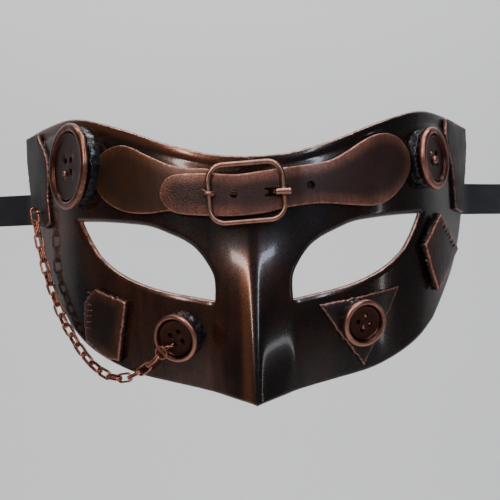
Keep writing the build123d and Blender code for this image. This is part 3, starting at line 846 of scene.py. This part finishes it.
def makeButton(name, settings):
    radius, rim, thick = settings["radius"], settings["rim"], buttonForm["thick"]
    tube = rim / 2
    floor = thick - buttonForm["dish"]
    crown = arc((radius - tube, thick - tube), tube, -30, 200, 22)
    profile = [(0, 0), (radius * 0.5, 0), (radius - 2.0, 0.0)] + arc((radius - 1.0, 0.9), 0.9, -90, 0, 4)
    profile += [point for point in crown if point[1] > 1.4 or point[0] > radius - tube]
    inner = profile[-1][0] - 1.2
    profile += arc((inner, floor + 0.9), 0.9, -20, -90, 5)
    profile += [(inner * 0.66, floor - 0.05), (inner * 0.33, floor - 0.05), (0, floor)]
    piece = turnProfile("button" + name[0].upper() + name[1:], profile, buttonForm["turns"])
    gap = settings["gap"] / 2
    for i in (-1, 1):
        for j in (-1, 1):
            bpy.ops.object.select_all(action="DESELECT")
            bpy.ops.mesh.primitive_cylinder_add(vertices=28, radius=settings["hole"] * mm, depth=0.02,
                                                location=(i * gap * mm, j * gap * mm, 0))
            cutHole(piece, bpy.context.object)
    applyModifier(piece, "BEVEL", width=buttonForm["bevel"] * mm, segments=2, limit_method="ANGLE",
                  angle_limit=math.radians(50))
    for x, y, z, size in settings["beads"]:
        bpy.ops.object.select_all(action="DESELECT")
        bpy.ops.mesh.primitive_uv_sphere_add(segments=16, ring_count=10, radius=size * mm,
                                             location=(x * mm, y * mm, z * mm))
        bpy.context.object.select_set(True)
        piece.select_set(True)
        bpy.context.view_layer.objects.active = piece
        bpy.ops.object.join()
    dishEdge = radius - rim

    def bright(co):
        out = math.hypot(co.x, co.y) / mm
        worn = min((out - dishEdge - 0.2) / 0.8, (co.z / mm - 0.5) / 1.2)
        bead = any(math.dist(co / mm, bead[:3]) < bead[3] + 0.05 for bead in settings["beads"])
        middle = 0.28 * math.exp(-(out / (dishEdge * 0.62)) ** 4)
        return 0.9 if bead else max(middle, min(settings["shine"], worn))

    paintEdge(piece, bright)
    piece.data.transform(buttonMatrix(settings, buttonForm["baseHeight"] + buttonForm["gap"]))
    smoothed(piece, 40)
    return finish(piece, buttonCopper, "mask", "button", "button_" + settings["node"])


def makeBase(name, settings):
    # a lumpy pad of hardened glue under a button
    radius = settings["radius"] - buttonForm["baseInset"].get(name, buttonForm["inset"])
    height = buttonForm["baseHeight"]
    profile = [(0, -7), (radius * 0.9, -7), (radius, -5), (radius + 0.2, -2),
               (radius + 0.1, 0.4 - height * 0.3), (radius - 0.2, -0.8), (radius - 0.5, -0.2),
               (radius - 1.2, 0), (radius * 0.5, 0), (0, 0)]
    piece = turnProfile("glueBase" + name[0].upper() + name[1:], profile, buttonForm["baseTurns"])
    applyModifier(piece, "SUBSURF", levels=1, render_levels=1)
    for vertex in piece.data.vertices:
        out = Vector((vertex.co.x, vertex.co.y, 0))
        if out.length > radius * 0.85 * mm:
            lump = noise.noise(vertex.co * 420 + Vector((radius, 0, 0))) + 0.5 * noise.noise(vertex.co * 1100)
            vertex.co += out.normalized() * lump * buttonForm["lump"] * mm
    paintEdge(piece, lambda co: 0.0)
    piece.data.transform(buttonMatrix(settings, height))
    for vertex in piece.data.vertices:
        x, z = vertex.co.x / mm, vertex.co.z / mm
        floor = onFront(x, z, 0).y + 0.0008
        vertex.co.y = min(vertex.co.y, floor)
    smoothed(piece, 60)
    return finish(piece, glueBlack, "mask", "glue", "button_base_" + settings["node"])


for key, settings in buttons.items():
    makeButton(key, settings)
    makeBase(key, settings)
print("buttons ready")


def makeCheekBeds():
    for side in ("Left", "Right"):
        points = patches["cheek" + side]
        middle = middleOf(points)
        wider = [(middle[0] + 1.04 * (x - middle[0]), middle[1] + 1.04 * (z - middle[1])) for x, z in points]
        piece = cutSheet("cheekGlue" + side, wider, [middle], lambda x: patches["glue"], patches["lift"], 200,
                         straight=True, rows=4, ragged=0.9, edgeRound=0.8, puff=0.0)
        finish(piece, glueBlack, "mask", "glue", "cheek_pad_" + side.lower())


makeCheekBeds()

stitches = {"left": {"first": (-62.6, -14.6), "last": (-63.9, -28.0), "inward": (1.0, 0.0)},
            "right": {"first": (76.6, 9.0), "last": (82.2, 0.0), "inward": (-0.8, -0.5)},
            "count": 7, "long": 2.2, "thick": 0.30, "shine": 0.45}


def curvePiece(name, line):
    # a bevelled curve made a mesh
    piece = bpy.data.objects.new(name, line)
    bpy.context.scene.collection.objects.link(piece)
    bpy.ops.object.select_all(action="DESELECT")
    bpy.context.view_layer.objects.active = piece
    piece.select_set(True)
    bpy.ops.object.convert(target="MESH")
    return bpy.context.object


def makeStitches():
    for side in ("left", "right"):
        settings = stitches[side]
        first, last, inward = Vector(settings["first"]), Vector(settings["last"]), Vector(settings["inward"])
        spline = bpy.data.curves.new("stitches" + side.title(), "CURVE")
        spline.dimensions = "3D"
        spline.bevel_depth = stitches["thick"] * mm
        spline.bevel_resolution = 3
        spline.use_fill_caps = True
        top = patches["lift"] + patches["thick"]
        for i in range(stitches["count"]):
            start = first.lerp(last, i / (stitches["count"] - 1)) - inward * 0.5
            skew = Vector((0, random.uniform(-0.4, 0.4)))
            end = start + inward * (stitches["long"] + random.uniform(-0.3, 0.4)) + skew
            thread = spline.splines.new("NURBS")
            thread.points.add(3)
            heights = (top - 1.2, top + 0.45, top + 0.5, top - 0.3)
            for k, height in enumerate(heights):
                spot = start.lerp(end, (0, 0.2, 0.8, 1)[k])
                thread.points[k].co = (*seenAt(spot.x, spot.y, height), 1)
            thread.order_u = 3
            thread.use_endpoint_u = True
        piece = curvePiece("stitches" + side.title(), spline)
        paintEdge(piece, lambda co: stitches["shine"])
        smoothed(piece, 60)
        finish(piece, chainCopper, "mask", "thread", "stitches_" + side)


makeStitches()
print("stitches ready")


def refinish(node, material, body, slot, wear, angle=35):
    # a copy of a CAD node whose shape is already right, with merged points and a better finish
    source = cadNodes[node]
    piece = bpy.data.objects.new(node.title().replace("_", "") + "Metal", source.data.copy())
    bpy.context.scene.collection.objects.link(piece)
    mergeDoubles(piece, 0.000002, recalculate=False)
    paintEdge(piece, wear)
    smoothed(piece, angle)
    return finish(piece, material, body, slot, node)


refinish("buckle_frame", buckleCopper, "mask", "buckle", lambda co: 0.75)
refinish("buckle_prong", buckleCopper, "mask", "buckle", lambda co: 0.75)

prongTip = {"route": [(-14.0, 21.0, 1.9), (-14.9, 20.4, 1.7), (-16.2, 21.4, 1.2), (-18.3, 22.9, 0.7)],
            "radius": [0.75, 0.65, 0.45, 0.12]}


def makeProngTip():
    # the prong's wire ends in a point past the bar
    line = bpy.data.curves.new("prongTip", "CURVE")
    line.dimensions = "3D"
    line.bevel_depth = mm
    line.bevel_resolution = 4
    line.use_fill_caps = True
    wire = line.splines.new("NURBS")
    wire.points.add(len(prongTip["route"]) - 1)
    for point, (x, z, above), radius in zip(wire.points, prongTip["route"], prongTip["radius"]):
        point.co = (*seenAt(x, z, strapUnder(x) + straps["thick"] + above), 1)
        point.radius = radius
    wire.order_u = 3
    wire.use_endpoint_u = True
    piece = curvePiece("prongTip", line)
    paintEdge(piece, lambda co: 0.75)
    smoothed(piece, 60)
    finish(piece, buckleCopper, "mask", "buckle")


makeProngTip()
refinish("chain_eyelet", chainCopper, "mask", "chain", lambda co: 0.7)
refinish("button_loop", chainCopper, "mask", "chain", lambda co: 0.8)
refinish("round_ring", chainCopper, "chain", "chain", lambda co: 0.8)
for number in range(1, 22):
    refinish("chain_link_%02d" % number, chainCopper, "chain", "chain", lambda co: 0.7)
print("metal ready")

ribbons = {
    "height": 19.0, "width": 12.7, "thick": 0.4, "pull": (0.8, 0.6), "free": 58.0,
    "inside": 78.5, "turn": 92.6, "columns": 90, "rows": 12, "exit": 24.0,
    "ripple": {"from": 30.0, "fade": 20.0, "deep": 0.35},
}


def ribbonRoute(side):
    # glued inside the temple, round the rear edge, then straight out to what holds it
    back = -form["wall"] - 0.3
    inside = onFront(ribbons["inside"], ribbons["height"], back - 0.15)
    corner = onFront(ribbons["turn"], ribbons["height"], back - 0.5)
    pull = Vector((*ribbons["pull"], 0))
    end = onFront(92.0, ribbons["height"], back - 0.5) + pull * ribbons["free"] * mm
    inward = (inside - corner).normalized()
    route = [inside, corner + inward * 0.007, corner, corner + (end - corner).normalized() * 0.008,
             corner.lerp(end, 0.5), end]
    return [Vector((side * p.x, p.y, p.z)) for p in route]


def splinePoints(route, name):
    curve = bpy.data.curves.new(name, "CURVE")
    curve.dimensions = "3D"
    curve.resolution_u = 24
    line = curve.splines.new("NURBS")
    line.points.add(len(route) - 1)
    for point, co in zip(line.points, route):
        point.co = (*co, 1)
    line.order_u = 3
    line.use_endpoint_u = True
    helper = bpy.data.objects.new(name, curve)
    bpy.context.scene.collection.objects.link(helper)
    bpy.context.view_layer.update()
    mesh = bpy.data.meshes.new_from_object(helper)
    points = [vertex.co.copy() for vertex in mesh.vertices]
    bpy.data.objects.remove(helper)
    return points


def alongPath(points, share):
    length = [0.0]
    for a, b in zip(points, points[1:]):
        length.append(length[-1] + (b - a).length)
    want = length[-1] * share
    k = max(i for i in range(len(points) - 1) if length[i] <= want + 1e-12)
    span = length[k + 1] - length[k]
    spot = points[k].lerp(points[k + 1], (want - length[k]) / span)
    return spot, (points[k + 1] - points[k]).normalized(), length[-1]


def makeRibbon(side, word):
    points = splinePoints(ribbonRoute(side), "ribbonLine" + word)
    total = alongPath(points, 0)[2]
    half, thick, ripple = ribbons["width"] / 2 * mm, ribbons["thick"] * mm, ribbons["ripple"]

    def place(i, j):
        share = i / ribbons["columns"]
        spot, along, _ = alongPath(points, share)
        outward = along.cross(Vector((0, 0, 1))).normalized()
        level = 2 * j / ribbons["rows"] - 1
        past = share * total - ripple["from"] * mm
        sway = min(max(past / (ripple["fade"] * mm), 0), 1) * ripple["deep"] * mm
        sway *= math.sin(level * 3.1 + past * 160)
        return spot + Vector((0, 0, level * half)) + outward * sway

    piece = gridPiece("ribbon" + word, ribbons["columns"], ribbons["rows"], place)
    applyModifier(piece, "SOLIDIFY", thickness=thick, offset=0, use_even_offset=True)
    smoothed(piece, 50)
    finish(piece, ribbonSatin, "mask", "ribbon", "ribbon_" + word.lower())
    exitPoint = alongPath(points, ribbons["exit"] * mm / total)[0]
    tuple(exitPoint)
    [tuple(p) for p in points]


makeRibbon(-1, "Left")
makeRibbon(1, "Right")
for word in ("left", "right"):
    refinish("ribbon_pad_" + word, glueBlack, "mask", "glue", lambda co: 0.0, 50)
print("ribbons ready")
